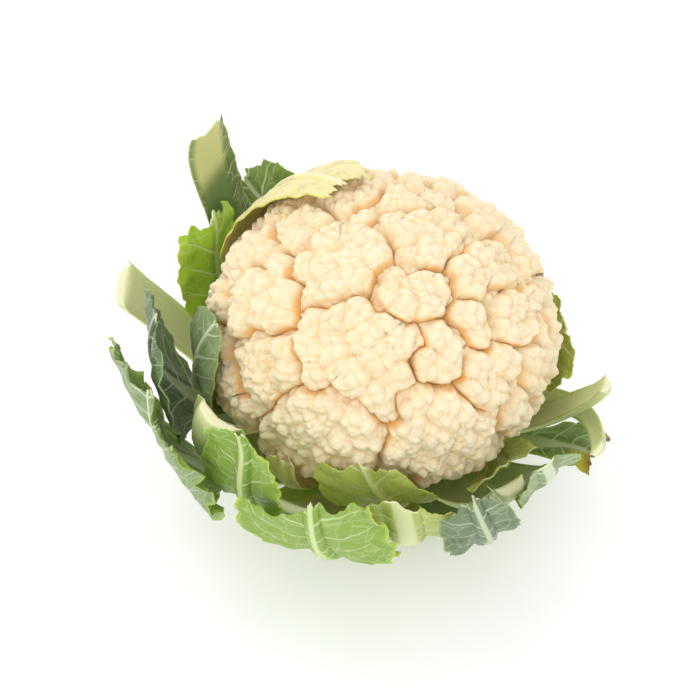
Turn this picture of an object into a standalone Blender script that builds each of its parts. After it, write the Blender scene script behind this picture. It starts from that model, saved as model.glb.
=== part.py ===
"""A trimmed cauliflower standing on its cut stem: a domed curd of florets in a bowl of overlapping leaves.

The origin is the middle of the stem's cut face, +Z runs up through the crown, and the head's best side
faces -Y. Azimuths are counted from +X towards +Y, so 270 degrees is the front and 180 the left.
"""

import math

import bmesh
import bpy
import numpy as np

MM = 0.001

# Driving dimensions of the head: it fits inside two half ellipsoids that meet at its widest circle.
CURD_RADIUS = 86 * MM
CURD_RISE = 75 * MM
CURD_DROP = 56 * MM
CURD_CENTRE = 96 * MM

# The stem runs from its cut face up to the flat underside of the curd.
STEM_RADIUS = 22.5 * MM
STEM_FOOT_RADIUS = 23.5 * MM
STEM_FLARE = 5.0 * MM
STEM_TOP = 47.0 * MM
STEM_SIDES = 32
JOINT_GAP = 0.4 * MM
LEAST_FALL = 1e-6

# The curd's surface: lumps all over it, each grown on one of the florets. A floret is a dome with a cleft
# round it, and a bigger one stands out more. The shapes are powers: a higher one gives a flatter top.
SURFACE_POINTS = 4300
LUMPS = 430
LUMP_SCATTER = 0.03
LUMP_RELIEF = 3.0 * MM
LUMP_SHAPE = 2.2
FLORET_DOME = 7.0 * MM
FLORET_SHAPE = 4
FLORET_SWELL = 0.18
USUAL_FLORET = 20 * MM
CLEFT_DEPTH = 6.0 * MM
CLEFT_WIDTH = 3.0 * MM
GOLDEN_ANGLE = math.pi * (3 - math.sqrt(5))
SEED = 7

# Florets as azimuth, angle from the crown, and radius in millimetres, ring by ring from the crown down.
CROWN_FLORETS = [(212, 17, 23), (12, 15, 20), (288, 27, 15), (162, 30, 16), (115, 25, 17), (62, 22, 17)]
SHOULDER_FLORETS = [
    (258, 45, 27),
    (199, 49, 24),
    (222, 66, 20),
    (294, 48, 14),
    (315, 45, 13),
    (312, 66, 18),
    (348, 36, 19),
    (340, 55, 17),
    (337, 77, 17),
    (166, 53, 21),
    (135, 50, 22),
    (100, 51, 23),
    (65, 50, 22),
    (28, 52, 23),
]
RIM_FLORETS = [
    (249, 83, 29),
    (289, 83, 28),
    (318, 93, 18),
    (352, 92, 21),
    (20, 86, 23),
    (50, 84, 24),
    (82, 85, 24),
    (114, 83, 25),
    (146, 84, 24),
    (178, 82, 24),
    (209, 88, 24),
]
UNDER_FLORETS = [(15 + 36 * step, 116, 20) for step in range(10)]
FLORETS = CROWN_FLORETS + SHOULDER_FLORETS + RIM_FLORETS + UNDER_FLORETS

# Leaves lie in shells round the head: the first shell's distance from it, and what each further one adds,
# which grows above the widest circle.
FIRST_SHELL = 3.0 * MM
SHELL_STEP = 8.3 * MM
SHELL_SPREAD = 3.0 * MM
SPREAD_FROM = -25
SPREAD_TO = 40
BLADE_THICKNESS = 0.9 * MM
RIB_MARGIN = 1.2 * MM

# Where the points of a leaf lie across it, from its left edge to its right; the rib ends at 0.4.
RIB_COLUMN = 0.4
BLADE_COLUMNS = (-1, -0.7, -0.4, -0.2, 0, 0.2, 0.4, 0.7, 1)
STUB_COLUMNS = (-1, -0.4, -0.2, 0, 0.2, 0.4, 1)

# What the leaves of one kind share. Lengths are in millimetres and angles in degrees; opens, widest,
# bend_at and bend_end are shares of the leaf's length. rib is the petiole's half width and thick its
# depth, each at the stem and at the tip. left and right are how far the blade reaches round the head on
# each side, and tip_width is how much of that is left at its end. slant shortens one side.
BLADE = dict(rib=(8.5, 3.0), thick=(7.0, 2.2), opens=0.34, widest=0.72, tip_width=0.55, left=22, right=22,
             wave=2.0, waves=2.3, phase=0.0, curl=0.0, bend=0, bend_at=0.7, bend_end=1.0, slant=0.0,
             rows=9, columns=BLADE_COLUMNS, finish="leaf")
STUB = dict(BLADE, rib=(8.5, 9.5), thick=(7.0, 9.0), opens=0.5, tip_width=1.0, left=4, right=4,
            wave=0.3, bend=8, bend_at=0.55, rows=6, columns=STUB_COLUMNS, finish="cut_petiole")
YOUNG = dict(BLADE, rib=(7.6, 2.2), thick=(5.0, 1.8), opens=0.25, wave=1.2, finish="young_leaf")


def leaf(kind, shell, root, tip, reach, **own):
    """A leaf's numbers: its kind's, its shell, its azimuth at the stem and at the tip, and its reach, which
    is how far above the widest circle it ends, as an angle. own holds what it has otherwise."""
    return dict(kind, shell=shell, root=root, tip=tip, reach=reach, **own)


LEAVES = {
    "leaf_01": leaf(YOUNG, 0, 22, 5, -3, left=20, right=20),
    "leaf_02": leaf(YOUNG, 0, 78, 78, 4, left=25, right=24),
    "leaf_03": leaf(YOUNG, 0, 134, 126, 72, left=27, right=22, widest=0.62, tip_width=0.85, wave=0.2,
                    curl=-1.5),
    "leaf_04": leaf(YOUNG, 0, 186, 199, 28, left=17, right=15, tip_width=0.12, wave=0.5),
    "leaf_05": leaf(YOUNG, 0, 236, 240, 4, left=7, right=6, tip_width=0.2),
    "leaf_06": leaf(YOUNG, 0, 283, 263, 10, left=18, right=15, tip_width=0.5, wave=1.6),
    "leaf_07": leaf(YOUNG, 0, 331, 309, -13, left=17, right=13, tip_width=0.7),
    "leaf_08": leaf(BLADE, 1, 46, 44, -15),
    "leaf_09": leaf(BLADE, 1, 100, 104, 0, left=24),
    "leaf_10": leaf(BLADE, 1, 153, 143, 16, left=10, right=17, bend=35, bend_at=0.84),
    "leaf_11": leaf(STUB, 1, 203, 224, 16, rib=(8.5, 12.5), left=9, right=9),
    "leaf_12": leaf(STUB, 1, 252, 244, -8, thick=(7.0, 6.5), slant=-0.12),
    "leaf_13": leaf(STUB, 1, 302, 307, -9, rib=(8.5, 9), thick=(7.0, 8.2), bend=0, slant=0.1),
    "leaf_14": leaf(STUB, 1, 353, 339, 8, rib=(8.5, 5), thick=(7.0, 6.0), left=3, right=3, bend=22),
    "leaf_15": leaf(STUB, 2, 20, -33, -2, rib=(8.5, 5), thick=(7.0, 5.5), left=3, right=3, bend=22),
    "leaf_16": leaf(BLADE, 2, 75, 74, -6, left=24, right=24),
    "leaf_17": leaf(BLADE, 2, 128, 142, 42, left=9, right=5, rib=(8.5, 9), widest=0.6, tip_width=0.1,
                    bend=25, bend_at=0.55),
    "leaf_18": leaf(BLADE, 2, 180, 190, 20, left=17, right=25, tip_width=0.3, wave=1.0),
    "leaf_19": leaf(BLADE, 2, 230, 237, 27, left=11, right=11, bend=45, bend_at=0.78),
    "leaf_20": leaf(BLADE, 2, 280, 273, 11, left=13, right=12, rib=(8.5, 8), slant=0.08),
    "leaf_21": leaf(BLADE, 2, 330, 311, 3, left=11, right=9, rib=(8.5, 6), tip_width=0.8),
    "leaf_22": leaf(STUB, 3, 48, 46, -28),
    "leaf_23": leaf(BLADE, 3, 102, 127, 10, left=13, right=13),
    "leaf_24": leaf(STUB, 3, 154, 168, 9, rib=(8.5, 11.5), bend=22, slant=0.1),
    "leaf_25": leaf(BLADE, 3, 206, 208, 15, left=24, right=24, wave=2.2, waves=3, curl=1.0, bend=8,
                    bend_at=0.86),
    "leaf_26": leaf(BLADE, 3, 256, 254, 16, left=18, right=18, slant=-0.12),
    "leaf_27": leaf(BLADE, 3, 305, 287, 14, left=10, right=8, tip_width=0.3, slant=-0.06),
    "leaf_28": leaf(BLADE, 3, 358, 332, -17, left=6, right=10, tip_width=0.7, bend=12),
}
PATH_STEPS = 240
ROWS_TO_TIP = 1.4
LEAN_DELAY = 1.5
SIDE_PHASE = 1.3

CURD_ROUGHNESS = 0.65
STEM_ROUGHNESS = 0.6
LEAF_ROUGHNESS = 0.5
CURD_COLOUR = (0.86, 0.74, 0.52)
STEM_COLOUR = (0.72, 0.76, 0.50)
LEAF_COLOURS = {
    "leaf": (0.22, 0.36, 0.13),
    "young_leaf": (0.62, 0.68, 0.26),
    "cut_petiole": (0.58, 0.66, 0.34),
}


def clear_scene():
    for obj in list(bpy.data.objects):
        bpy.data.objects.remove(obj, do_unlink=True)


def material(name, colour, roughness):
    made = bpy.data.materials.new(name)
    made.use_nodes = True
    shader = made.node_tree.nodes["Principled BSDF"]
    shader.inputs["Base Color"].default_value = (*colour, 1)
    shader.inputs["Roughness"].default_value = roughness
    shader.inputs["Metallic"].default_value = 0
    return made


def add_solid(name, points, faces, finish):
    """One named object from points and faces, with its faces pointing out."""
    mesh = bpy.data.meshes.new(name)
    mesh.from_pydata([tuple(p) for p in points], [], faces)
    shell = bmesh.new()
    shell.from_mesh(mesh)
    bmesh.ops.recalc_face_normals(shell, faces=shell.faces)
    shell.to_mesh(mesh)
    shell.free()
    mesh.materials.append(finish)
    mesh.shade_smooth()
    obj = bpy.data.objects.new(name, mesh)
    bpy.context.scene.collection.objects.link(obj)
    return obj


def smooth_step(start, end, value):
    share = np.clip((value - start) / (end - start), 0, 1)
    return share * share * (3 - 2 * share)


def spiral_directions(count, widest_angle):
    """Directions spaced evenly by the golden angle, from +Z out to the widest angle in degrees."""
    steps = np.arange(count) + 0.5
    height = 1 - steps / count * (1 - math.cos(math.radians(widest_angle)))
    reach = np.sqrt(1 - height**2)
    turn = steps * GOLDEN_ANGLE
    return np.stack([reach * np.cos(turn), reach * np.sin(turn), height], axis=1)


def outline_distance(directions):
    """How far the head's smooth outline is from its centre along each direction."""
    rise = np.where(directions[:, 2] > 0, CURD_RISE, CURD_DROP)
    flat = directions[:, 0] ** 2 + directions[:, 1] ** 2
    return 1 / np.sqrt(flat / CURD_RADIUS**2 + directions[:, 2] ** 2 / rise**2)


def floret_middle(azimuth, polar):
    """Where a floret sits on the outline, from the head's centre."""
    turn, down = math.radians(azimuth), math.radians(polar)
    flat = CURD_RADIUS * math.sin(down)
    rise = CURD_RISE if polar < 90 else CURD_DROP
    return flat * math.cos(turn), flat * math.sin(turn), rise * math.cos(down)


def shares_of_florets(points):
    """How far each point is from each floret's middle, as a share of the floret's radius."""
    middles = np.array([floret_middle(azimuth, polar) for azimuth, polar, size in FLORETS])
    sizes = np.array([size * MM for azimuth, polar, size in FLORETS])
    return np.linalg.norm(points[:, None] - middles, axis=2) / sizes


def lump_places():
    """Where the lumps are on the outline, and the number of the floret that each is grown on."""
    random = np.random.default_rng(SEED)
    directions = spiral_directions(LUMPS, 180) + random.normal(0, LUMP_SCATTER, (LUMPS, 3))
    directions /= np.linalg.norm(directions, axis=1)[:, None]
    places = directions * outline_distance(directions)[:, None]
    return places, shares_of_florets(places).argmin(axis=1)


def curd_distance(directions):
    """How far the curd reaches from its centre along each direction."""
    outline = outline_distance(directions)
    points = directions * outline[:, None]
    places, grown_on = lump_places()
    away = np.linalg.norm(points[:, None] - places, axis=2)
    floret = grown_on[away.argmin(axis=1)]
    same = grown_on == floret[:, None]
    nearest, second = np.partition(np.where(same, away, np.inf), 1, axis=1)[:, :2].T
    other = np.where(same, np.inf, away).min(axis=1)
    shares = shares_of_florets(points)
    own = np.arange(len(FLORETS)) == floret[:, None]
    share = np.where(own, shares, 0).max(axis=1) / np.where(own, np.inf, shares).min(axis=1)
    dome = FLORET_DOME * (1 - np.sqrt(1 - np.clip(share, 0, 1) ** FLORET_SHAPE))
    cleft = CLEFT_DEPTH * np.exp((nearest - other) / CLEFT_WIDTH)
    lump = LUMP_RELIEF * (nearest / second) ** LUMP_SHAPE
    sizes = np.array([size * MM for azimuth, polar, size in FLORETS])
    swell = FLORET_SWELL * (sizes[floret] - USUAL_FLORET)
    reach = outline + swell - dome - cleft - lump
    floor = STEM_TOP + JOINT_GAP - CURD_CENTRE
    falling = np.minimum(directions[:, 2], -LEAST_FALL)
    return np.where(directions[:, 2] < 0, np.minimum(reach, floor / falling), reach)


def make_curd(finish):
    """The curd: evenly spread points on a ball, joined by its hull, then moved onto the curd's surface."""
    directions = spiral_directions(SURFACE_POINTS, 180)
    ball = bmesh.new()
    for direction in directions:
        ball.verts.new(direction)
    bmesh.ops.convex_hull(ball, input=ball.verts)
    bmesh.ops.triangulate(ball, faces=ball.faces)
    ball.verts.index_update()
    faces = [[corner.index for corner in face.verts] for face in ball.faces]
    ball.free()
    points = directions * curd_distance(directions)[:, None] + (0, 0, CURD_CENTRE)
    return add_solid("curd", points, faces, finish)


def make_stem(finish):
    """The stem: a stout round stalk, a little wider at its cut face."""
    profile = [(STEM_FOOT_RADIUS, 0), (STEM_RADIUS, STEM_FLARE), (STEM_RADIUS, STEM_TOP)]
    points, faces = [], []
    for radius, height in profile:
        for side in range(STEM_SIDES):
            turn = 2 * math.pi * side / STEM_SIDES
            points.append((radius * math.cos(turn), radius * math.sin(turn), height))
    for ring in range(len(profile) - 1):
        for side in range(STEM_SIDES):
            low = ring * STEM_SIDES + side
            next_low = ring * STEM_SIDES + (side + 1) % STEM_SIDES
            faces.append([low, next_low, next_low + STEM_SIDES, low + STEM_SIDES])
    faces.append(list(range(STEM_SIDES)))
    faces.append(list(range(len(points) - STEM_SIDES, len(points))))
    return add_solid("stem", points, faces, finish)


def leaf_path(form):
    """Radius, height and outward normal along a leaf's inner face, at even shares of its length."""
    offset = FIRST_SHELL + SHELL_STEP * form["shell"]
    across = CURD_RADIUS + offset
    start = -math.acos((STEM_RADIUS + JOINT_GAP) / across)
    angle = np.linspace(start, math.radians(form["reach"]), PATH_STEPS)
    rise = np.where(angle > 0, CURD_RISE, CURD_DROP) + offset
    spread = SHELL_SPREAD * form["shell"] * smooth_step(SPREAD_FROM, SPREAD_TO, np.degrees(angle))
    slope = np.stack([rise * np.cos(angle), across * np.sin(angle)], axis=1)
    normal = slope / np.linalg.norm(slope, axis=1)[:, None]
    line = np.stack([across * np.cos(angle), CURD_CENTRE + rise * np.sin(angle)], axis=1)
    line += normal * spread[:, None]
    steps = np.diff(line, axis=0)
    share = np.linspace(0, 1, PATH_STEPS)
    bend = -np.radians(form["bend"]) * smooth_step(form["bend_at"], form["bend_end"], share[1:])
    cosine, sine = np.cos(bend), np.sin(bend)
    turned = np.stack([steps[:, 0] * cosine - steps[:, 1] * sine,
                       steps[:, 0] * sine + steps[:, 1] * cosine], axis=1)
    line[1:] = line[0] + np.cumsum(turned, axis=0)
    tangent = np.gradient(line, axis=0)
    tangent /= np.linalg.norm(tangent, axis=1)[:, None]
    return share, line, np.stack([tangent[:, 1], -tangent[:, 0]], axis=1)


def leaf_half_width(form, side, share, radius):
    """Half width of the leaf on one side: the petiole, then the blade opening out to a cut or rounded end."""
    petiole = MM * np.interp(share, [0, 1], form["rib"]) + RIB_MARGIN
    widest = radius * math.radians(form[side])
    opening = smooth_step(form["opens"], form["widest"], share)
    closing = np.clip((share - form["widest"]) / (1 - form["widest"]), 0, 1)
    narrowing = np.sqrt(1 - (1 - form["tip_width"] ** 2) * closing**2)
    return petiole + np.maximum(widest - petiole, 0) * opening * narrowing


def leaf_faces_at(form, across, share, path):
    """Points of the leaf's inner and outer face. across runs from -1 to 1 and share from 0 to 1."""
    shares, line, normals = path
    across, share = np.meshgrid(across, share)
    share = share * (1 - (abs(form["slant"]) + form["slant"] * across) / 2)
    radius = np.interp(share, shares, line[:, 0])
    height = np.interp(share, shares, line[:, 1])
    normal_out = np.interp(share, shares, normals[:, 0])
    normal_up = np.interp(share, shares, normals[:, 1])
    rib = MM * np.interp(share, [0, 1], form["rib"])
    width = np.where(across < 0, leaf_half_width(form, "left", share, radius),
                     leaf_half_width(form, "right", share, radius))
    from_rib = np.abs(across)
    beyond = (from_rib - RIB_COLUMN) / (1 - RIB_COLUMN)
    distance = np.where(beyond <= 0, from_rib / RIB_COLUMN * rib, rib + beyond * (width - rib))
    edge = np.clip(distance / width, 0, 1)
    opened = smooth_step(form["opens"], 1, share)
    ripple = np.sin(2 * math.pi * (form["waves"] * share + form["phase"]) + SIDE_PHASE * np.sign(across))
    lift = MM * opened * (form["wave"] * edge**2 * (1 + ripple) + form["curl"] * edge**3)
    keel = np.sqrt(np.clip(1 - (distance / rib) ** 2, 0, 1))
    thick = MM * np.interp(share, [0, 1], form["thick"])
    depth = BLADE_THICKNESS + (thick - BLADE_THICKNESS) * keel
    turn = np.radians(form["root"] + (form["tip"] - form["root"]) * share**LEAN_DELAY)
    turn = turn + np.sign(across) * distance / np.maximum(radius, STEM_RADIUS)
    surfaces = []
    for offset in (lift, lift + depth):
        out = radius + normal_out * offset
        up = height + normal_up * offset
        surfaces.append(np.stack([out * np.cos(turn), out * np.sin(turn), up], axis=-1))
    return surfaces


def make_leaf(name, form, finish):
    """One leaf: two faces of triangles split alike, joined round their edge."""
    columns, rows = len(form["columns"]) - 1, form["rows"]
    shares = 1 - (1 - np.linspace(0, 1, rows + 1)) ** ROWS_TO_TIP
    inner, outer = leaf_faces_at(form, form["columns"], shares, leaf_path(form))
    points = np.concatenate([inner.reshape(-1, 3), outer.reshape(-1, 3)])
    wide, other = columns + 1, (columns + 1) * (rows + 1)
    faces = []
    for row in range(rows):
        for column in range(columns):
            a = row * wide + column
            b, c, d = a + 1, a + wide + 1, a + wide
            faces += [[a, b, c], [a, c, d]]
            faces += [[a + other, c + other, b + other], [a + other, d + other, c + other]]
    border = list(range(columns))
    border += [row * wide + columns for row in range(rows)]
    border += [rows * wide + column for column in range(columns, 0, -1)]
    border += [row * wide for row in range(rows, 0, -1)]
    for here, there in zip(border, border[1:] + border[:1]):
        faces += [[here, here + other, there + other], [here, there + other, there]]
    return add_solid(name, points, faces, finish)


def main():
    clear_scene()
    make_curd(material("curd", CURD_COLOUR, CURD_ROUGHNESS))
    make_stem(material("stem", STEM_COLOUR, STEM_ROUGHNESS))
    finishes = {name: material(name, colour, LEAF_ROUGHNESS) for name, colour in LEAF_COLOURS.items()}
    for name, form in LEAVES.items():
        make_leaf(name, form, finishes[form["finish"]])


main()
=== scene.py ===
import math

import bpy
import numpy as np
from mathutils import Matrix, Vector
from mathutils.kdtree import KDTree


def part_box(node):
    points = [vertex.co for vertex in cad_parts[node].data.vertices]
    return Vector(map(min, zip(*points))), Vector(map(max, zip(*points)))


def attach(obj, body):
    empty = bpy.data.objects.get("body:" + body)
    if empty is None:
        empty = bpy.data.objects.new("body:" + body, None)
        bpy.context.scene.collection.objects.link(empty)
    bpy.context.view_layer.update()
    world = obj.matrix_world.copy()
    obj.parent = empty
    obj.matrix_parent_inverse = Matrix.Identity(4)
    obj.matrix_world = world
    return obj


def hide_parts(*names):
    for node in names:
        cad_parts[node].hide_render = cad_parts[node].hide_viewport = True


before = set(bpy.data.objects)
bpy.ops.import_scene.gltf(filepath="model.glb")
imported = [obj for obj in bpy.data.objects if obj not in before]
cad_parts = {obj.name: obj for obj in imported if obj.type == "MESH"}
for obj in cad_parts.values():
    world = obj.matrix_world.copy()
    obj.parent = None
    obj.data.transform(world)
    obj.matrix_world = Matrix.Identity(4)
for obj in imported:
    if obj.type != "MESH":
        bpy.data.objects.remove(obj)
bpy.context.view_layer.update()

MM = 0.001

# The photograph's frame, and where the head's middle stands in it.
IMAGE_SIZE = 700
HEAD_PIXEL = (382, 335)
PIXELS_PER_MM = 2.1
VIEW_ELEVATION = 48
VIEW_DISTANCE = 900 * MM
SENSOR_WIDTH = 36

# The head's own sizes, as in the solids.
CURD_RADIUS = 86 * MM
CURD_RISE = 75 * MM
CURD_DROP = 56 * MM
CURD_CENTRE = 96 * MM
STEM_RADIUS = 22.5 * MM
STEM_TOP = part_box("stem")[1].z
JOINT_GAP = 0.4 * MM
GOLDEN_ANGLE = math.pi * (3 - math.sqrt(5))
SEED = 7

# A seeded wave: how much its octaves' lengths vary, how each is weaker than the last, and its scale.
WAVE_STRETCH = (0.8, 1.2)
WAVE_FALL = 1.7
WAVE_SCALE = 1.9

# Florets as azimuth, angle from the crown, and radius in millimetres, ring by ring from the crown down.
CROWN_FLORETS = [(212, 17, 23), (12, 15, 20), (288, 27, 15), (162, 30, 16), (115, 25, 17), (62, 22, 17)]
SHOULDER_FLORETS = [
    (258, 45, 27),
    (199, 49, 24),
    (222, 66, 20),
    (294, 48, 14),
    (315, 45, 13),
    (312, 66, 18),
    (348, 36, 19),
    (340, 55, 17),
    (337, 77, 17),
    (166, 53, 21),
    (135, 50, 22),
    (100, 51, 23),
    (65, 50, 22),
    (28, 52, 23),
]
RIM_FLORETS = [
    (249, 83, 29),
    (289, 83, 28),
    (318, 93, 18),
    (352, 92, 21),
    (20, 86, 23),
    (50, 84, 24),
    (82, 85, 24),
    (114, 83, 25),
    (146, 84, 24),
    (178, 82, 24),
    (209, 88, 24),
]
UNDER_FLORETS = [(15 + 36 * step, 116, 20) for step in range(10)]
FLORETS = CROWN_FLORETS + SHOULDER_FLORETS + RIM_FLORETS + UNDER_FLORETS

# The curd's surface, as in the solid: lumps all over it, each grown on one of the florets. A lump is part of
# a ball. A floret is a dome with a cleft round it, more open on the best side, and a bigger one stands out
# more. Past its edge it falls away under its neighbours, as steeply as CLEFT_FALL says.
LUMPS = 430
LUMP_SCATTER = 0.03
LUMP_BALL = 14 * MM
FLORET_DOME = 5.2 * MM
FLORET_SHAPE = 4
FLORET_SWELL = 0.18
USUAL_FLORET = 20 * MM
CLEFT_DEPTH = 2.2 * MM
CLEFT_WIDTH = 1.2 * MM
CLEFT_FALL = 2.0
# Painted shade in the clefts: how far it reaches in from a floret's edge, and past the edge as a share of
# that.
CLEFT_SHADE_REACH = 2.2 * MM
CLEFT_SHADE_PAST = 0.2
CLEFT_TIGHT = 0.35
CLEFT_OPENS = (0.1, 0.95)
# How much of the painted shade in a cleft is there in any case; the rest grows as the cleft opens.
CLEFT_PALEST = 0.3
BEST_SIDE = (-0.2, -0.78, 0.6)

# Each lump is a cluster of buds, each bud of grains, all parts of balls, and the seams between them wander.
# SMALL_DEPTH is the deepest that a seam goes, and SEAM_SHARE how wide the painted shade along a seam is, as
# shares of the ball.
BUDS = 2000
BUD_BALL = 3.4 * MM
GRAINS = 10000
GRAIN_BALL = 2.6 * MM
SMALL_SCATTER = 0.3
SMALL_DEPTH = 0.75
SEAM_SHARE = 0.18
# How sharply the painted shade in the seams between lumps falls off, and how strong it is in the seams
# between grains.
LUMP_SEAM_SHARPNESS = 8
GRAIN_SEAM = 0.35
WOBBLE = 1.1 * MM
WOBBLE_LENGTH = 16 * MM
WOBBLE_SCALE = 1.4

# How finely a floret's patch is made, how far it runs under its neighbours, and how deep it closes. It is
# coarser at the back and underneath.
PATCH_PITCH = 0.60 * MM
BACK_PITCH = 0.85 * MM
BACK_FROM = 175
BACK_BELOW = 60
UNDER_BELOW = 110
PATCH_MARGIN = 3.0 * MM
PATCH_TURNS = 90
PATCH_STEPS = 48
PATCH_REACH = 2.0
PATCH_ROOT = 0.45
LOOK_ROUND = 75 * MM

# The fused branches inside the head, a ribbed ball as deep as this under the outline.
CORE_DEPTH = 20 * MM
CORE_RINGS = 40
CORE_SIDES = 120
CORE_RIBS = 9
CORE_RIB_DEPTH = 1.6 * MM
CORE_OPENING = 0.02
CORE_FOOT_RISE = 0.2 * MM

# The stalk: its fine rings, the flare and the bevel at its cut face, and the ledges of old leaf scars.
STEM_SIDES = 96
STEM_FOOT = (0 * MM, 0.25 * MM, 0.8 * MM)
STEM_RINGS_FROM = 2 * MM
STEM_RINGS = 27
STEM_INSET = 0.6 * MM
STEM_FLARE = 1.0 * MM
STEM_FLARE_HEIGHT = 4 * MM
STEM_BEVEL = 0.7 * MM
STEM_UNEVEN = 0.35 * MM
LEDGE_DEPTH = 0.3 * MM
LEDGE_SPACING = 7 * MM
LEDGES_ROUND = 3
STEM_SHARP = 60

# Leaves lie in shells round the head, as in the solids.
FIRST_SHELL = 3.0 * MM
SHELL_STEP = 8.3 * MM
SHELL_SPREAD = 3.0 * MM
SPREAD_FROM = -25
SPREAD_TO = 40
BLADE_THICKNESS = 0.9 * MM
RIB_MARGIN = 1.2 * MM
PATH_STEPS = 240
ROWS_TO_TIP = 1.4
LEAN_DELAY = 1.5
SIDE_PHASE = 1.3
RIB_COLUMN = 0.4
RIB_STEPS = 10
BLADE_STEPS = 14
LEAF_ROW_PITCH = 2.4 * MM

# What the fine leaves have beyond the solids: torn ends, notched and ruffled edges, curled tips, a blade
# that swells and puckers between its veins, a ridged rib that is hollow inside, and a rounded cut end.
LEAF_SEED = SEED + 100
TEAR_WAVE = 0.9
TORN_FROM = 0.6
NOTCH_WAVE = 17 * MM
NOTCH_SHIFT = 0.31
OPENING_LENGTH = 0.3
RUFFLE_WAVE = 19 * MM
RUFFLE_SHIFT = 0.17
RUFFLE_MARGIN = 8 * MM
CURLED_WAVE = 17 * MM
CURLED_FROM = 0.8
CURLED_SHARE = 0.8
PUCKER = 0.8
SWELL = 0.9
SWELL_WAVE_ALONG = 45 * MM
SWELL_WAVE_ACROSS = 38 * MM
THINNER_EDGE = 0.4
RIDGE_DEPTH = 0.18 * MM
RIDGE_SPACING = 2.6 * MM
HOLLOW_DEPTH = 0.9 * MM
HOLLOW_CLOSES = (0.15, 0.4)
HOLLOW_LOSS = 0.4
CUT_ROUNDING = 2.4 * MM
CUT_ROUNDING_SHARE = 0.97
CUT_ROUNDING_DEPTH = 0.3
LEAF_SHARP = 55

# What the leaves of one kind share, as in the solids. Lengths are in millimetres and angles in degrees;
# opens, widest, bend_at and bend_end are shares of the leaf's length. rib is the petiole's half width and
# thick its depth, each at the stem and at the tip. left and right are how far the blade reaches round the
# head on each side, and tip_width is how much of that is left at its end. slant shortens one side.
BLADE = dict(rib=(8.5, 3.0), thick=(7.0, 2.2), opens=0.34, widest=0.72, tip_width=0.55, left=22, right=22,
             wave=2.0, waves=2.3, phase=0.0, curl=0.0, bend=0, bend_at=0.7, bend_end=1.0, slant=0.0,
             finish="leaf")
STUB = dict(BLADE, rib=(8.5, 9.5), thick=(7.0, 9.0), opens=0.5, tip_width=1.0, left=4, right=4,
            wave=0.3, bend=8, bend_at=0.55, finish="cut_petiole")
YOUNG = dict(BLADE, rib=(7.6, 2.2), thick=(5.0, 1.8), opens=0.25, wave=1.2, finish="young_leaf")


def leaf(kind, shell, root, tip, reach, **own):
    """A leaf's numbers: its kind's, its shell, its azimuth at the stem and at the tip, and its reach, which
    is how far above the widest circle it ends, as an angle. own holds what it has otherwise."""
    return dict(kind, shell=shell, root=root, tip=tip, reach=reach, **own)


LEAVES = {
    "leaf_01": leaf(YOUNG, 0, 22, 5, -3, left=20, right=20),
    "leaf_02": leaf(YOUNG, 0, 78, 78, 4, left=25, right=24),
    "leaf_03": leaf(YOUNG, 0, 134, 126, 72, left=27, right=22, widest=0.62, tip_width=0.85, wave=0.2,
                    curl=-1.5),
    "leaf_04": leaf(YOUNG, 0, 186, 199, 28, left=17, right=15, tip_width=0.12, wave=0.5),
    "leaf_05": leaf(YOUNG, 0, 236, 240, 4, left=7, right=6, tip_width=0.2),
    "leaf_06": leaf(YOUNG, 0, 283, 263, 10, left=18, right=15, tip_width=0.5, wave=1.6),
    "leaf_07": leaf(YOUNG, 0, 331, 309, -13, left=17, right=13, tip_width=0.7),
    "leaf_08": leaf(BLADE, 1, 46, 44, -15),
    "leaf_09": leaf(BLADE, 1, 100, 104, 0, left=24),
    "leaf_10": leaf(BLADE, 1, 153, 143, 16, left=10, right=17, bend=35, bend_at=0.84),
    "leaf_11": leaf(STUB, 1, 203, 224, 16, rib=(8.5, 12.5), left=9, right=9),
    "leaf_12": leaf(STUB, 1, 252, 244, -8, thick=(7.0, 6.5), slant=-0.12),
    "leaf_13": leaf(STUB, 1, 302, 307, -9, rib=(8.5, 9), thick=(7.0, 8.2), bend=0, slant=0.1),
    "leaf_14": leaf(STUB, 1, 353, 339, 8, rib=(8.5, 5), thick=(7.0, 6.0), left=3, right=3, bend=22),
    "leaf_15": leaf(STUB, 2, 20, -33, -2, rib=(8.5, 5), thick=(7.0, 5.5), left=3, right=3, bend=22),
    "leaf_16": leaf(BLADE, 2, 75, 74, -6, left=24, right=24),
    "leaf_17": leaf(BLADE, 2, 128, 142, 42, left=9, right=5, rib=(8.5, 9), widest=0.6, tip_width=0.1,
                    bend=25, bend_at=0.55),
    "leaf_18": leaf(BLADE, 2, 180, 190, 20, left=17, right=25, tip_width=0.3, wave=1.0),
    "leaf_19": leaf(BLADE, 2, 230, 237, 27, left=11, right=11, bend=45, bend_at=0.78),
    "leaf_20": leaf(BLADE, 2, 280, 273, 11, left=13, right=12, rib=(8.5, 8), slant=0.08),
    "leaf_21": leaf(BLADE, 2, 330, 311, 3, left=11, right=9, rib=(8.5, 6), tip_width=0.8),
    "leaf_22": leaf(STUB, 3, 48, 46, -28),
    "leaf_23": leaf(BLADE, 3, 102, 127, 10, left=13, right=13),
    "leaf_24": leaf(STUB, 3, 154, 168, 9, rib=(8.5, 11.5), bend=22, slant=0.1),
    "leaf_25": leaf(BLADE, 3, 206, 208, 15, left=24, right=24, wave=2.2, waves=3, curl=1.0, bend=8,
                    bend_at=0.86),
    "leaf_26": leaf(BLADE, 3, 256, 254, 16, left=18, right=18, slant=-0.12),
    "leaf_27": leaf(BLADE, 3, 305, 287, 14, left=10, right=8, tip_width=0.3, slant=-0.06),
    "leaf_28": leaf(BLADE, 3, 358, 332, -17, left=6, right=10, tip_width=0.7, bend=12),
}

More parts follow.
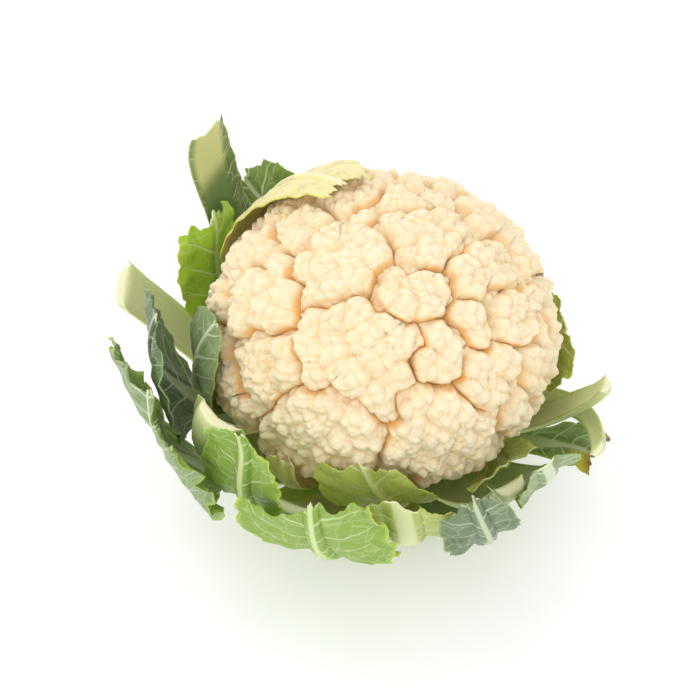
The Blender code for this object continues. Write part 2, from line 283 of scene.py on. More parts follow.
# What only the looks need: a leaf's colours, how much its edge ruffles in millimetres, and how ragged it is.
# midrib is how much of the pale rib is left at the tip, and paler where the stalk turns pale. yellowed and
# withered are how much of the tip is so, as a share of the length.
KIND_LOOKS = {
    "leaf": dict(colours="grey", ruffle=1.6, ragged=0.06, midrib=0.3, paler=(0.35, 0.75), yellowed=0,
                 withered=0),
    "cut_petiole": dict(colours="stub", ruffle=0.3, ragged=0.012, midrib=1, paler=(0.9, 1.2), yellowed=0,
                        withered=0),
    "young_leaf": dict(colours="pale", ruffle=0.9, ragged=0.05, midrib=0.4, paler=(0.5, 1.0), yellowed=0,
                       withered=0),
}
LOOKS = {
    "leaf_01": dict(ragged=0.09),
    "leaf_03": dict(colours="yellow", ruffle=0.6, ragged=0.04),
    "leaf_04": dict(colours="grey", ruffle=0.3, ragged=0.02),
    "leaf_05": dict(colours="yellow"),
    "leaf_10": dict(colours="bright"),
    "leaf_17": dict(colours="streaked", ragged=0.02, midrib=1, paler=(0.78, 0.86)),
    "leaf_18": dict(colours="dark", ragged=0.03),
    "leaf_19": dict(colours="bright", ruffle=2.2),
    "leaf_20": dict(colours="pale", midrib=0.5),
    "leaf_21": dict(colours="grey", midrib=0.5, ragged=0.02),
    "leaf_24": dict(colours="cream"),
    "leaf_25": dict(ruffle=3.4, ragged=0.07),
    "leaf_26": dict(colours="bright", ruffle=2.2),
    "leaf_27": dict(colours="dark"),
    "leaf_28": dict(yellowed=0.3, withered=0.12),
}

# Colours of the leaves' inner face, outer face, stalk, veins and rim, in linear light.
LEAF_COLOURS = {
    "grey": ((0.21, 0.31, 0.07), (0.26, 0.34, 0.15), (0.50, 0.56, 0.23), (0.60, 0.67, 0.45),
             (0.34, 0.48, 0.10)),
    "bright": ((0.36, 0.56, 0.05), (0.23, 0.36, 0.05), (0.46, 0.56, 0.17), (0.57, 0.68, 0.30),
               (0.42, 0.58, 0.06)),
    "dark": ((0.12, 0.18, 0.08), (0.15, 0.21, 0.10), (0.40, 0.48, 0.20), (0.50, 0.58, 0.38),
             (0.28, 0.38, 0.14)),
    "pale": ((0.44, 0.51, 0.10), (0.48, 0.54, 0.13), (0.60, 0.64, 0.26), (0.70, 0.74, 0.38),
             (0.50, 0.58, 0.10)),
    "yellow": ((0.88, 0.76, 0.36), (0.88, 0.77, 0.36), (0.88, 0.79, 0.46), (0.90, 0.82, 0.50),
               (0.62, 0.66, 0.08)),
    "stub": ((0.42, 0.51, 0.16), (0.48, 0.56, 0.22), (0.58, 0.63, 0.30), (0.65, 0.69, 0.38),
             (0.52, 0.58, 0.25)),
    "cream": ((0.70, 0.72, 0.37), (0.62, 0.67, 0.30), (0.72, 0.73, 0.40), (0.76, 0.76, 0.46),
              (0.64, 0.68, 0.32)),
    "streaked": ((0.12, 0.18, 0.05), (0.20, 0.28, 0.11), (0.16, 0.24, 0.08), (0.62, 0.64, 0.30),
                 (0.36, 0.44, 0.17)),
}
CUT_COLOUR = (0.78, 0.76, 0.48)
YELLOWED_COLOUR = (0.52, 0.50, 0.04)
WITHERED_COLOUR = (0.26, 0.10, 0.02)

# Side veins and the net between them, in millimetres; those of the two sides don't meet.
VEIN_SPACING = 15
VEIN_SLOPE = 0.9
VEIN_OFFSET = 0.47
VEIN_CELL = 8

# Where a leaf's colours change: shares of its length, of its half width, or of its pale midrib.
MIDRIB_NARROWS = (0.35, 0.75)
MIDRIB_SOLID = 0.8
MIDRIB_FADE = 0.35
KEEL_SHOWS = 0.05
YELLOW_FADE = 0.15
YELLOW_SIDE = (0.2, -0.1)
PALER_SKEW = 0.06
# Painted shade on the inner face of a stalk near the stem: how strong it is, and the shares of the length
# over which it fades out.
SHADE = 0.6
SHADE_FADES = (0.62, 0.35)

CURD_COLOUR = (0.89, 0.735, 0.485)
CURD_LIT_COLOUR = (0.91, 0.77, 0.54)
# Painted shade in the seams between lumps, a darker beige.
SEAM_SHADE_COLOUR = (0.85, 0.61, 0.30)
# Painted shade in the clefts between florets, orange-brown.
CLEFT_SHADE_COLOUR = (0.86, 0.47, 0.13)
BRANCH_COLOUR = (0.70, 0.72, 0.42)
FIBRE_COLOUR = (0.55, 0.60, 0.30)
RING_COLOUR = (0.45, 0.44, 0.18)
RING_SHARE = 0.72
NOISE_ROUGHNESS = 0.55

# The setting: a white floor that glows a little, white surroundings, and two soft lamps, each with its place
# in metres, its size and its power in watts.
FLOOR_HALF = 6.0
FLOOR_GLOW = 0.12
DAYLIGHT = (0.98, 0.99, 1.0)
DAYLIGHT_STRENGTH = 1.05
LAMPS = {
    "key": dict(place=(-0.45, 0.30, 1.5), size=0.8, power=3.0),
    "fill": dict(place=(-0.5, -1.2, 0.9), size=1.0, power=3.4),
}


def smooth_step(start, end, value):
    share = np.clip((value - start) / (end - start), 0, 1)
    return share * share * (3 - 2 * share)


def add_piece(name, points, faces, finish, slot, attributes, *nodes):
    """One mesh piece of the head, with its values at each point, riding on the head's one body."""
    mesh = bpy.data.meshes.new(name)
    mesh.from_pydata(points.tolist(), [], faces)
    for key, values in attributes.items():
        layer = mesh.attributes.new(key, "FLOAT", "POINT")
        layer.data.foreach_set("value", np.asarray(values, np.float32).ravel())
    mesh.materials.append(finish)
    mesh.shade_smooth()
    mesh.update()
    piece = bpy.data.objects.new(name, mesh)
    bpy.context.scene.collection.objects.link(piece)
    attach(piece, "root")
    if nodes:
        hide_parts(*nodes)
    return piece


def wander(values, random, wavelength, octaves=3):
    """A smooth seeded wave from about -1 to 1 along values."""
    total = np.zeros_like(values)
    for octave in range(octaves):
        turns = values / wavelength * 2**octave * random.uniform(*WAVE_STRETCH)
        total += np.sin(2 * math.pi * (turns + random.uniform())) / WAVE_FALL**octave
    return total / WAVE_SCALE


class Nodes:
    """Builds one material's nodes: each call adds a node, feeds it, and returns its result."""

    def __init__(self, name):
        self.material = bpy.data.materials.new(name)
        self.material.use_nodes = True
        self.tree = self.material.node_tree
        self.shader = self.tree.nodes["Principled BSDF"]

    def feed(self, socket, value):
        if isinstance(value, bpy.types.NodeSocket):
            self.tree.links.new(value, socket)
        elif isinstance(value, tuple) and len(value) == 3 and socket.type == "RGBA":
            socket.default_value = (*value, 1)
        else:
            socket.default_value = value

    def math(self, operation, first, second=0.0):
        node = self.tree.nodes.new("ShaderNodeMath")
        node.operation = operation
        self.feed(node.inputs[0], first)
        self.feed(node.inputs[1], second)
        return node.outputs[0]

    def attribute(self, name):
        node = self.tree.nodes.new("ShaderNodeAttribute")
        node.attribute_name = name
        return node.outputs["Fac"]

    def place(self):
        return self.tree.nodes.new("ShaderNodeTexCoord").outputs["Object"]

    def vector(self, x, y, z=0.0):
        node = self.tree.nodes.new("ShaderNodeCombineXYZ")
        for socket, value in zip(node.inputs, (x, y, z)):
            self.feed(socket, value)
        return node.outputs[0]

    def noise(self, where, size, detail=3.0):
        """Soft noise of about that grain, in the units of where."""
        node = self.tree.nodes.new("ShaderNodeTexNoise")
        self.feed(node.inputs["Vector"], where)
        node.inputs["Scale"].default_value = 1 / size
        node.inputs["Detail"].default_value = detail
        node.inputs["Roughness"].default_value = NOISE_ROUGHNESS
        return node.outputs["Fac"]

    def cells(self, where, size, feature):
        """Distances in a pattern of cells of about that size."""
        node = self.tree.nodes.new("ShaderNodeTexVoronoi")
        node.feature = feature
        self.feed(node.inputs["Vector"], where)
        node.inputs["Scale"].default_value = 1 / size
        return node.outputs["Distance"]

    def ramp(self, value, low, high, to_low=0.0, to_high=1.0):
        """value from low to high, moved to run smoothly from to_low to to_high and held there."""
        node = self.tree.nodes.new("ShaderNodeMapRange")
        node.interpolation_type = "SMOOTHSTEP"
        for socket, fed in zip(node.inputs, (value, low, high, to_low, to_high)):
            self.feed(socket, fed)
        return node.outputs[0]

    def mix(self, share, first, second):
        node = self.tree.nodes.new("ShaderNodeMix")
        node.data_type = "RGBA"
        self.feed(node.inputs["Factor"], share)
        colour_inputs = [socket for socket in node.inputs if socket.type == "RGBA"]
        self.feed(colour_inputs[0], first)
        self.feed(colour_inputs[1], second)
        return next(socket for socket in node.outputs if socket.type == "RGBA")

    def bump(self, height, distance, strength, under=None):
        """Relief of that height, laid over the relief under it."""
        node = self.tree.nodes.new("ShaderNodeBump")
        node.inputs["Strength"].default_value = strength
        node.inputs["Distance"].default_value = distance
        self.feed(node.inputs["Height"], height)
        if under is not None:
            self.feed(node.inputs["Normal"], under)
        return node.outputs["Normal"]

    def finish(self, colour, roughness, normal):
        self.feed(self.shader.inputs["Base Color"], colour)
        self.feed(self.shader.inputs["Roughness"], roughness)
        self.feed(self.shader.inputs["Normal"], normal)
        return self.material


def curd_material():
    """Warm ivory, with painted shade: beige in the seams between lumps and orange-brown in the clefts between
    florets.
    """
    nodes = Nodes("curd_finish")
    where = nodes.place()
    patches = nodes.ramp(nodes.noise(where, 30 * MM), 0.35, 0.65)
    colour = nodes.mix(patches, CURD_COLOUR, CURD_LIT_COLOUR)
    # Painted shade in the seams between lumps, buds and grains.
    colour = nodes.mix(nodes.ramp(nodes.attribute("seam"), 0.15, 1.0, 0, 0.7), colour, SEAM_SHADE_COLOUR)
    # Painted shade in the clefts between florets, stronger in some patches than in others.
    uneven_shade = nodes.ramp(nodes.noise(where, 20 * MM), 0.3, 0.7, 0.5, 1.0)
    cleft = nodes.math("MULTIPLY", nodes.attribute("cleft"), uneven_shade)
    colour = nodes.mix(cleft, colour, CLEFT_SHADE_COLOUR)
    grain = nodes.cells(where, 1.5 * MM, "SMOOTH_F1")
    fine = nodes.noise(where, 0.6 * MM, 2.0)
    normal = nodes.bump(nodes.math("MULTIPLY", grain, -1.0), 0.35 * MM, 0.5)
    normal = nodes.bump(fine, 0.2 * MM, 0.3, normal)
    roughness = nodes.ramp(fine, 0.2, 0.8, 0.6, 0.78)
    nodes.shader.inputs["Subsurface Weight"].default_value = 0.35
    nodes.shader.inputs["Subsurface Radius"].default_value = (1.0, 0.6, 0.3)
    nodes.shader.inputs["Subsurface Scale"].default_value = 4 * MM
    nodes.shader.inputs["Specular IOR Level"].default_value = 0.3
    return nodes.finish(colour, roughness, normal)


def leaf_veins(nodes, along, across, edge):
    """Side veins that climb from the midrib and thin towards the edge, and a faint net between them."""
    side = nodes.math("ABSOLUTE", across)
    wobble = nodes.math("MULTIPLY", nodes.noise(nodes.vector(across, along), 14.0, 1.0), 7.0)
    climb = nodes.math("SUBTRACT", nodes.math("ADD", along, wobble), nodes.math("MULTIPLY", side, VEIN_SLOPE))
    right = nodes.math("GREATER_THAN", across, 0.0)
    turn = nodes.math("DIVIDE", climb, float(VEIN_SPACING))
    turn = nodes.math("ADD", turn, nodes.math("MULTIPLY", right, VEIN_OFFSET))
    from_vein = nodes.math("MULTIPLY", nodes.math("PINGPONG", turn, 0.5), float(VEIN_SPACING))
    vein_width = nodes.ramp(edge, 0.0, 1.0, 1.25, 0.4)
    side_veins = nodes.ramp(nodes.math("DIVIDE", from_vein, vein_width), 0.35, 1.0, 1.0, 0.0)
    cells = nodes.cells(nodes.vector(across, climb), float(VEIN_CELL), "DISTANCE_TO_EDGE")
    return nodes.math("MAXIMUM", side_veins, nodes.ramp(cells, 0.01, 0.06, 0.38, 0.0))


def leaf_material(key):
    """Waxy leaf: its faces in two greens, a pale stalk with painted shade on its inner face near the stem,
    side veins and a fine net of veins between them.
    """
    inner, outer, stalk, vein, rim = LEAF_COLOURS[key]
    nodes = Nodes("leaf_finish_" + key)
    where = nodes.place()
    along = nodes.attribute("along")
    across = nodes.attribute("across")
    edge = nodes.attribute("edge")
    veins = leaf_veins(nodes, along, across, edge)
    blade = nodes.mix(nodes.attribute("outer"), inner, outer)
    tone = nodes.noise(where, 12 * MM, 4.0)
    darker = tuple(value * 0.62 for value in inner)
    blade = nodes.mix(nodes.ramp(tone, 0.4, 0.75, 0.0, 0.6), blade, darker)
    blade = nodes.mix(nodes.attribute("yellowed"), blade, YELLOWED_COLOUR)
    colour = nodes.mix(nodes.math("MULTIPLY", veins, 0.8), blade, vein)
    colour = nodes.mix(nodes.ramp(edge, 0.93, 1.0, 0.0, 0.8), colour, rim)
    streaks = nodes.noise(nodes.vector(across, nodes.math("MULTIPLY", along, 0.08)), 1.6, 3.0)
    lined = nodes.mix(nodes.ramp(streaks, 0.35, 0.7, 0.0, 0.4), stalk, outer)
    lined = nodes.mix(nodes.attribute("paler"), lined, vein)
    # Painted shade: the stalk's inner face turns towards the inner green near the stem.
    lined = nodes.mix(nodes.attribute("shaded"), lined, inner)
    colour = nodes.mix(nodes.attribute("stalk"), colour, lined)
    colour = nodes.mix(nodes.attribute("cut"), colour, CUT_COLOUR)
    colour = nodes.mix(nodes.attribute("withered"), colour, WITHERED_COLOUR)
    off_stalk = nodes.math("SUBTRACT", 1.0, nodes.attribute("stalk"))
    normal = nodes.bump(nodes.math("MULTIPLY", veins, off_stalk), 0.7 * MM, 0.6)
    normal = nodes.bump(nodes.noise(where, 1.5 * MM, 3.0), 0.25 * MM, 0.35, normal)
    normal = nodes.bump(streaks, 0.35 * MM, 0.4, normal)
    roughness = nodes.ramp(tone, 0.2, 0.8, 0.42, 0.6)
    nodes.shader.inputs["Subsurface Weight"].default_value = 0.25
    nodes.shader.inputs["Subsurface Radius"].default_value = (0.9, 1.0, 0.35)
    nodes.shader.inputs["Subsurface Scale"].default_value = 2.5 * MM
    return nodes.finish(colour, roughness, normal)


def stem_material():
    """Pale stalk with lengthwise fibres, and on the cut face a darker ring inside the skin."""
    nodes = Nodes("stem_finish")
    where = nodes.place()
    parts = nodes.tree.nodes.new("ShaderNodeSeparateXYZ")
    nodes.feed(parts.inputs[0], where)
    east, north, height = parts.outputs
    squares = nodes.math("ADD", nodes.math("MULTIPLY", east, east), nodes.math("MULTIPLY", north, north))
    radius = nodes.math("SQRT", squares)
    ring = nodes.math("ABSOLUTE", nodes.math("SUBTRACT", radius, STEM_RADIUS * RING_SHARE))
    on_cut = nodes.ramp(height, 0.2 * MM, 0.8 * MM, 1.0, 0.0)
    ringed = nodes.math("MULTIPLY", nodes.ramp(ring, 0.5 * MM, 2 * MM, 0.5, 0.0), on_cut)
    fibres = nodes.noise(nodes.vector(east, north, nodes.math("MULTIPLY", height, 0.1)), 1.8 * MM, 3.0)
    colour = nodes.mix(nodes.ramp(fibres, 0.35, 0.7), BRANCH_COLOUR, FIBRE_COLOUR)
    colour = nodes.mix(on_cut, colour, CUT_COLOUR)
    colour = nodes.mix(ringed, colour, RING_COLOUR)
    normal = nodes.bump(fibres, 0.4 * MM, 0.5)
    return nodes.finish(colour, nodes.ramp(fibres, 0.2, 0.8, 0.42, 0.6), normal)


def spiral_directions(count, widest_angle):
    """Directions spaced evenly by the golden angle, from +Z out to the widest angle in degrees."""
    steps = np.arange(count) + 0.5
    height = 1 - steps / count * (1 - math.cos(math.radians(widest_angle)))
    reach = np.sqrt(1 - height**2)
    turn = steps * GOLDEN_ANGLE
    return np.stack([reach * np.cos(turn), reach * np.sin(turn), height], axis=1)


def outline_distance(directions):
    """How far the head's smooth outline is from its centre along each direction."""
    rise = np.where(directions[:, 2] > 0, CURD_RISE, CURD_DROP)
    flat = directions[:, 0] ** 2 + directions[:, 1] ** 2
    return 1 / np.sqrt(flat / CURD_RADIUS**2 + directions[:, 2] ** 2 / rise**2)


def floret_middle(azimuth, polar):
    """Where a floret sits on the outline, from the head's centre."""
    turn, down = math.radians(azimuth), math.radians(polar)
    flat = CURD_RADIUS * math.sin(down)
    rise = CURD_RISE if polar < 90 else CURD_DROP
    return flat * math.cos(turn), flat * math.sin(turn), rise * math.cos(down)


FLORET_MIDDLES = np.array([floret_middle(azimuth, polar) for azimuth, polar, size in FLORETS])
FLORET_SIZES = np.array([size * MM for azimuth, polar, size in FLORETS])


def shares_of_florets(points):
    """How far each point is from each floret's middle, as a share of the floret's radius."""
    return np.linalg.norm(points[:, None] - FLORET_MIDDLES, axis=2) / FLORET_SIZES


def lump_places():
    """Where the lumps are on the outline, and the number of the floret that each is grown on."""
    random = np.random.default_rng(SEED)
    directions = spiral_directions(LUMPS, 180) + random.normal(0, LUMP_SCATTER, (LUMPS, 3))
    directions /= np.linalg.norm(directions, axis=1)[:, None]
    places = directions * outline_distance(directions)[:, None]
    return places, shares_of_florets(places).argmin(axis=1)


def wobbled(points):
    """Points moved a little and smoothly, so that the seams between lumps wander."""
    random = np.random.default_rng(SEED)
    moved = points.copy()
    for axis in (0, 1, 2) * 2:
        wave = random.normal(0, 1, 3)
        wave *= 2 * math.pi / WOBBLE_LENGTH / np.linalg.norm(wave)
        moved[:, axis] += WOBBLE * np.sin(points @ wave + random.uniform(0, 2 * math.pi)) / WOBBLE_SCALE
    return moved


def small_ball_tree(count):
    """The middles of that many small balls, spread over the outline and scattered a little."""
    random = np.random.default_rng(SEED + count)
    scatter = SMALL_SCATTER * math.sqrt(4 / count)
    directions = spiral_directions(count, 180) + random.normal(0, scatter, (count, 3))
    directions /= np.linalg.norm(directions, axis=1)[:, None]
    places = directions * outline_distance(directions)[:, None]
    tree = KDTree(count)
    for number, place in enumerate(places.tolist()):
        tree.insert(place, number)
    tree.balance()
    return tree


def small_balls(points, tree, ball):
    """How deep points lie on a surface of small balls of that radius, and how near each is to a seam between
    balls, from 0 to 1 on it."""
    found = (tree.find_n(point, 2) for point in points.tolist())
    away = np.array([(first[2], second[2]) for first, second in found])
    seam = 1 - smooth_step(0, SEAM_SHARE, 1 - away[:, 0] / away[:, 1])
    depth = away[:, 0] ** 2 / (2 * ball)
    return depth / (1 + (depth / (SMALL_DEPTH * ball)) ** 4) ** 0.25, seam


def cleft_strength(points):
    """How open the clefts are: most on the head's best side, and less where florets press together."""
    facing = points @ np.array(BEST_SIDE) / np.linalg.norm(points, axis=1)
    return CLEFT_TIGHT + (1 - CLEFT_TIGHT) * smooth_step(*CLEFT_OPENS, facing)


def floret_depth(index, points, places, grown_on):
    """How deep one floret's surface lies under points of the outline, how far past the floret's edge they
    are, and how near a seam between lumps. It goes on falling under the floret's neighbours."""
    near = np.linalg.norm(places - FLORET_MIDDLES[index], axis=1) < LOOK_ROUND
    away = np.linalg.norm(wobbled(points)[:, None] - places[near], axis=2)
    same = grown_on[near] == index
    own = np.where(same, away, np.inf)
    nearest, second = np.partition(own, 1, axis=1)[:, :2].T
    other = np.where(same, np.inf, away).min(axis=1)
    past = nearest - other
    shares = shares_of_florets(points)
    share = shares[:, index] / np.delete(shares, index, axis=1).min(axis=1)
    dome = FLORET_DOME * (1 - np.sqrt(1 - np.clip(share, 0, 1) ** FLORET_SHAPE))
    cleft = CLEFT_DEPTH * cleft_strength(points) * np.exp(np.minimum(past, 0) / CLEFT_WIDTH)
    cleft += CLEFT_FALL * np.maximum(past, 0)
    ball = nearest**2 / (2 * LUMP_BALL)
    swell = FLORET_SWELL * (FLORET_SIZES[index] - USUAL_FLORET)
    return dome + cleft + ball - swell, past, nearest / second


def disc_grid(count):
    """A square grid drawn onto a disc: how far out each point is, from 0 to 1, and its turn."""
    steps = np.linspace(-1, 1, count)
    first, second = np.meshgrid(steps, steps)
    wide = np.abs(first) > np.abs(second)
    reach = np.where(wide, first, second)
    ratio = np.where(wide, second, first) / np.where(reach == 0, 1, reach)
    turn = np.where(wide, ratio * math.pi / 4, math.pi / 2 - ratio * math.pi / 4)
    turn = np.where(reach < 0, turn + math.pi, turn) % (2 * math.pi)
    return np.abs(reach).ravel(), turn.ravel()


def outline_points(index, out, turn):
    """Points of the outline, out from one floret's middle towards each turn round it."""
    middle = FLORET_MIDDLES[index]
    across = np.cross((0, 0, 1), middle)
    across /= np.linalg.norm(across)
    up = np.cross(middle, across) / np.linalg.norm(middle)
    ways = middle + (out * np.cos(turn))[:, None] * across + (out * np.sin(turn))[:, None] * up
    ways /= np.linalg.norm(ways, axis=1)[:, None]
    return ways, ways * outline_distance(ways)[:, None]


def floret_edge(index, places, grown_on):
    """How far out a floret's patch runs at each of some even turns round its middle."""
    turns = np.arange(PATCH_TURNS) / PATCH_TURNS * 2 * math.pi
    steps = np.linspace(0, PATCH_REACH, PATCH_STEPS) * FLORET_SIZES[index]
    out, turn = np.meshgrid(steps, turns)
    _, points = outline_points(index, out.ravel(), turn.ravel())
    _, past, _ = floret_depth(index, points, places, grown_on)
    inside = past.reshape(out.shape) < 0
    edge = np.where(inside, out, 0).max(axis=1)
    edge = np.maximum(edge, np.maximum(np.roll(edge, 1), np.roll(edge, -1)))
    return edge + PATCH_MARGIN


def square_ring(rows, columns):
    """The numbers of a grid's outermost points, in order round it."""
    ring = list(range(columns - 1))
    ring += [row * columns + columns - 1 for row in range(rows - 1)]
    ring += [(rows - 1) * columns + column for column in range(columns - 1, 0, -1)]
    return ring + [row * columns for row in range(rows - 1, 0, -1)]


def floret_grid(index, edge):
    """A floret's patch as a square grid: how many points it has along a side, how far out each lies from the
    floret's middle, and its turn round it."""
    azimuth, polar, _ = FLORETS[index]
    front = azimuth > BACK_FROM or polar < BACK_BELOW
    pitch = PATCH_PITCH if front and polar < UNDER_BELOW else BACK_PITCH
    count = int(2 * edge.mean() / pitch)
    reach, turn = disc_grid(count)
    around = np.append(edge, edge[0])
    steps = turn / (2 * math.pi) * PATCH_TURNS
    return count, reach * np.interp(steps, np.arange(PATCH_TURNS + 1), around), turn


def patch_faces(count):
    """Faces of a square patch, and of the cone that closes it towards one last point."""
    faces = []
    for row in range(count - 1):
        for column in range(count - 1):
            first = row * count + column
            faces.append((first, first + 1, first + count + 1, first + count))
    ring = square_ring(count, count)
    return faces + [(there, here, count * count) for here, there in zip(ring, ring[1:] + ring[:1])]


def make_floret(index, places, grown_on, buds, grains, finish):
    """One floret: its surface, and a little of it under its neighbours, closed inside the head."""
    count, out, turn = floret_grid(index, floret_edge(index, places, grown_on))
    ways, outline = outline_points(index, out, turn)
    depth, past, seam = floret_depth(index, outline, places, grown_on)
    moved = wobbled(outline)
    bud, bud_seam = small_balls(moved, buds, BUD_BALL)
    grain, grain_seam = small_balls(moved, grains, GRAIN_BALL)
    points = outline - ways * (depth + bud + grain)[:, None]
    points = np.concatenate([points, PATCH_ROOT * FLORET_MIDDLES[index][None]]) + (0, 0, CURD_CENTRE)
    points[:, 2] = np.maximum(points[:, 2], STEM_TOP + JOINT_GAP)
    # Painted shade in the clefts, at and just past the floret's edge, and fainter where florets press
    # together.
    cleft = smooth_step(-CLEFT_SHADE_REACH, CLEFT_SHADE_PAST * CLEFT_SHADE_REACH, past)
    cleft *= CLEFT_PALEST + (1 - CLEFT_PALEST) * cleft_strength(outline)
    # Painted shade in the seams between lumps, buds and grains.
    seams = np.maximum(seam**LUMP_SEAM_SHARPNESS, np.maximum(bud_seam, GRAIN_SEAM * grain_seam))
    attributes = {"seam": np.append(seams, 1), "cleft": np.append(cleft, 1)}
    add_piece(f"floret_{index + 1:02d}", points, patch_faces(count), finish, "curd", attributes, "curd")


def tube_points(radius, height, turn):
    """Points of a tube, from its radius, height and turn at each."""
    return np.stack([radius * np.cos(turn), radius * np.sin(turn), height], axis=-1).reshape(-1, 3)


def tube_faces(rings, sides):
    """Faces of a closed tube of rings that follow each other upwards."""
    faces = []
    for ring in range(rings - 1):
        for side in range(sides):
            low, high = ring * sides, (ring + 1) * sides
            after = (side + 1) % sides
            faces.append((low + side, low + after, high + after, high + side))
    top = (rings - 1) * sides
    return faces + [tuple(range(sides - 1, -1, -1)), tuple(range(top, top + sides))]


def make_branches(finish):
    """The thick fused branches inside the head, seen between the florets and from below."""
    steps = np.linspace(math.pi - CORE_OPENING, CORE_OPENING, CORE_RINGS)
    turns = np.arange(CORE_SIDES) / CORE_SIDES * 2 * math.pi
    down, turn = np.meshgrid(steps, turns, indexing="ij")
    ribs = CORE_RIB_DEPTH * np.cos(CORE_RIBS * turn) * np.sin(down)
    across = CURD_RADIUS - CORE_DEPTH + ribs
    rise = np.where(down < math.pi / 2, CURD_RISE, CURD_DROP) - CORE_DEPTH
    height = np.maximum(CURD_CENTRE + rise * np.cos(down), STEM_TOP + JOINT_GAP + CORE_FOOT_RISE * down)
    points = tube_points(across * np.sin(down), height, turn)
    add_piece("curd_branches", points, tube_faces(CORE_RINGS, CORE_SIDES), finish, "curd", {})


def make_stem(finish):
    """The stout stalk, with old leaf scars as low ledges round it and a flat cut face."""
    heights = np.concatenate([STEM_FOOT, np.linspace(STEM_RINGS_FROM, STEM_TOP, STEM_RINGS)])
    turns = np.arange(STEM_SIDES) / STEM_SIDES * 2 * math.pi
    height, turn = np.meshgrid(heights, turns, indexing="ij")
    random = np.random.default_rng(SEED)
    flare = STEM_FLARE * np.exp(-height / STEM_FLARE_HEIGHT)
    uneven = STEM_UNEVEN * wander(turn * STEM_RADIUS, random, 2 * math.pi * STEM_RADIUS / 3)
    ledges = LEDGE_DEPTH * np.sin(height / LEDGE_SPACING * 2 * math.pi + LEDGES_ROUND * turn)
    bevel = STEM_BEVEL * np.clip(1 - height / STEM_FOOT[-1], 0, 1) ** 2
    radius = STEM_RADIUS - STEM_INSET + flare - bevel + uneven + ledges
    points = tube_points(radius, height, turn)
    piece = add_piece("stem_stalk", points, tube_faces(len(heights), STEM_SIDES), finish, "stem", {}, "stem")
    piece.data.set_sharp_from_angle(angle=math.radians(STEM_SHARP))


def leaf_path(form):
    """Radius, height and outward normal along a leaf's inner face, at even shares of its length."""
    offset = FIRST_SHELL + SHELL_STEP * form["shell"]
    across = CURD_RADIUS + offset
    start = -math.acos((STEM_RADIUS + JOINT_GAP) / across)
    angle = np.linspace(start, math.radians(form["reach"]), PATH_STEPS)
    rise = np.where(angle > 0, CURD_RISE, CURD_DROP) + offset
    spread = SHELL_SPREAD * form["shell"] * smooth_step(SPREAD_FROM, SPREAD_TO, np.degrees(angle))
    slope = np.stack([rise * np.cos(angle), across * np.sin(angle)], axis=1)
    normal = slope / np.linalg.norm(slope, axis=1)[:, None]
    line = np.stack([across * np.cos(angle), CURD_CENTRE + rise * np.sin(angle)], axis=1)
    line += normal * spread[:, None]
    steps = np.diff(line, axis=0)
    share = np.linspace(0, 1, PATH_STEPS)
    bend = -np.radians(form["bend"]) * smooth_step(form["bend_at"], form["bend_end"], share[1:])
    cosine, sine = np.cos(bend), np.sin(bend)
    turned = np.stack([steps[:, 0] * cosine - steps[:, 1] * sine,
                       steps[:, 0] * sine + steps[:, 1] * cosine], axis=1)
    line[1:] = line[0] + np.cumsum(turned, axis=0)
    tangent = np.gradient(line, axis=0)
    tangent /= np.linalg.norm(tangent, axis=1)[:, None]
    return share, line, np.stack([tangent[:, 1], -tangent[:, 0]], axis=1)


def leaf_half_width(form, side, share, radius):
    """Half width of the leaf on one side: the petiole, then the blade opening out to a cut or rounded end."""
    petiole = MM * np.interp(share, [0, 1], form["rib"]) + RIB_MARGIN
    widest = radius * math.radians(form[side])
    opening = smooth_step(form["opens"], form["widest"], share)
    closing = np.clip((share - form["widest"]) / (1 - form["widest"]), 0, 1)
    narrowing = np.sqrt(1 - (1 - form["tip_width"] ** 2) * closing**2)
    return petiole + np.maximum(widest - petiole, 0) * opening * narrowing


def leaf_grid(form):
    """Where the fine points of a leaf lie across it and along it, and its length."""
    _, line, _ = leaf_path(form)
    length = np.linalg.norm(np.diff(line, axis=0), axis=1).sum()
    rib = np.linspace(-RIB_COLUMN, RIB_COLUMN, RIB_STEPS + 1)
    blade = np.linspace(RIB_COLUMN, 1, BLADE_STEPS + 1)[1:]
    across = np.concatenate([-blade[::-1], rib, blade])
    rows = int(length / LEAF_ROW_PITCH)
    shares = 1 - (1 - np.linspace(0, 1, rows + 1)) ** ROWS_TO_TIP
    return across, shares, length


